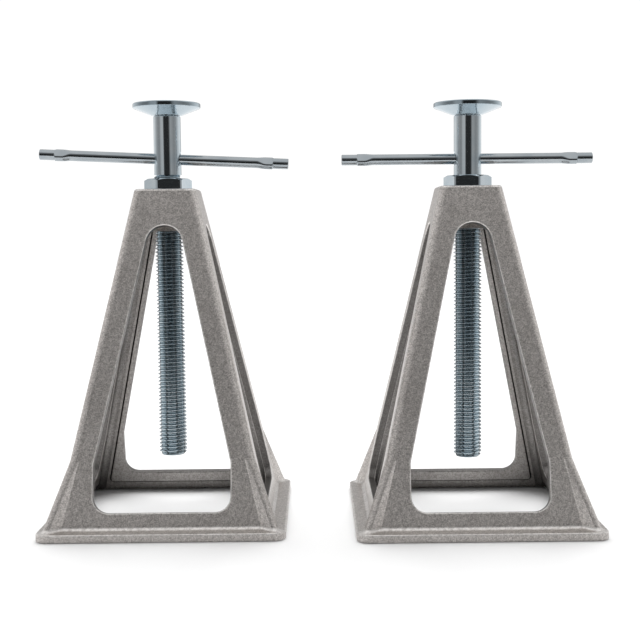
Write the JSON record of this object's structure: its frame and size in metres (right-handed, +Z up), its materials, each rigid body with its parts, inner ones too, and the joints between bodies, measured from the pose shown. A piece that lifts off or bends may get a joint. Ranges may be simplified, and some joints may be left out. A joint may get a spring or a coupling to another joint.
{
  "type": "pair of stack stands",
  "caption": "Pair of cast aluminium pyramid stands, each with a zinc-plated lifting screw, hex nut, swivelling round pad and sliding T-bar.",
  "frame": {"origin": "on the floor, in the middle of the pair's box", "axes": "+X from the left stand to the right stand, -Y the front, +Z up along both screws"},
  "size_m": [0.3746, 0.1662, 0.2815],
  "materials": {
    "cast_aluminium": "blasted casting, matt warm grey, fine grain",
    "zinc_plated_steel": "bright bluish zinc plate, smooth and reflective"
  },
  "bodies": {
    "left_stand": {"left_frame": "cast_aluminium", "left_nut": "zinc_plated_steel"},
    "left_pad": {"left_pad": "zinc_plated_steel"},
    "left_screw": {"left_screw": "zinc_plated_steel"},
    "left_handle": {"left_handle": "zinc_plated_steel"},
    "right_stand": {"right_frame": "cast_aluminium", "right_nut": "zinc_plated_steel"},
    "right_pad": {"right_pad": "zinc_plated_steel"},
    "right_screw": {"right_screw": "zinc_plated_steel"},
    "right_handle": {"right_handle": "zinc_plated_steel"}
  },
  "joints": [
    {"name": "left_lift", "type": "slide", "parent": "left_stand", "child": "left_pad", "axis": [0, 0, 1], "range_m": [-0.0021, 0.1503]},
    {"name": "left_turn", "type": "hinge", "parent": "left_pad", "child": "left_screw", "pos_m": [-0.10175, 0.00375, 0.24], "axis": [0, 0, 1], "range_deg": [-297, 21302]},
    {"name": "left_handle_slide", "type": "slide", "parent": "left_screw", "child": "left_handle", "axis": [0.9988, 0, -0.048], "range_m": [-0.0512, 0.0558]},
    {"name": "right_place", "type": "slide", "parent": "left_stand", "child": "right_stand", "axis": [1, 0, 0], "range_m": [-0.02, 0.3]},
    {"name": "right_lift", "type": "slide", "parent": "right_stand", "child": "right_pad", "axis": [0, 0, 1], "range_m": [0, 0.1524]},
    {"name": "right_turn", "type": "hinge", "parent": "right_pad", "child": "right_screw", "pos_m": [0.10175, -0.00375, 0.24], "axis": [0, 0, 1], "range_deg": [0, 21599]},
    {"name": "right_handle_slide", "type": "slide", "parent": "right_screw", "child": "right_handle", "axis": [1, 0, 0], "range_m": [-0.053, 0.054]}
  ],
  "couplings": [
    {"joint": "left_lift", "follows": "left_turn", "m_per_rad": 0.00040425},
    {"joint": "right_lift", "follows": "right_turn", "m_per_rad": 0.00040425}
  ]
}
